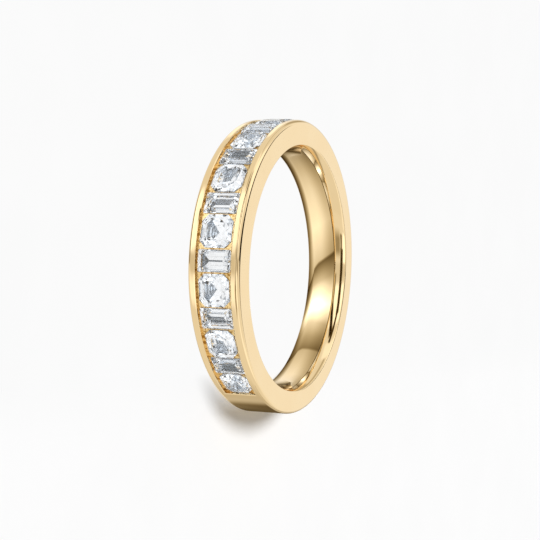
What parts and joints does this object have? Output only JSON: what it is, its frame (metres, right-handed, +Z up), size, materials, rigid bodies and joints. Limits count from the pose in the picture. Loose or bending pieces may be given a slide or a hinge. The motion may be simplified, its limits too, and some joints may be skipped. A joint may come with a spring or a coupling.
{
  "type": "baguette diamond ring",
  "caption": "Yellow gold band ring with a channel of alternating square and baguette step-cut stones over nearly half of its round, and a comfort-fit finger hole.",
  "frame": {"origin": "centre of the finger hole, halfway between the band's two side faces", "axes": "+Z up out of the level side face that the ring lies on, -Y towards the middle stone of the row, +X to the side, along the row"},
  "size_m": [0.0214, 0.0216, 0.0039],
  "materials": {
    "gold": "polished yellow gold",
    "stone": "clear, polished step-cut facets"
  },
  "bodies": {
    "root": {"band": "gold", "asscher_1": "stone", "asscher_2": "stone", "asscher_3": "stone", "asscher_4": "stone", "asscher_5": "stone", "asscher_6": "stone", "asscher_7": "stone", "asscher_8": "stone", "baguette_1": "stone", "baguette_2": "stone", "baguette_3": "stone", "baguette_4": "stone", "baguette_5": "stone", "baguette_6": "stone", "baguette_7": "stone"}
  },
  "joints": []
}
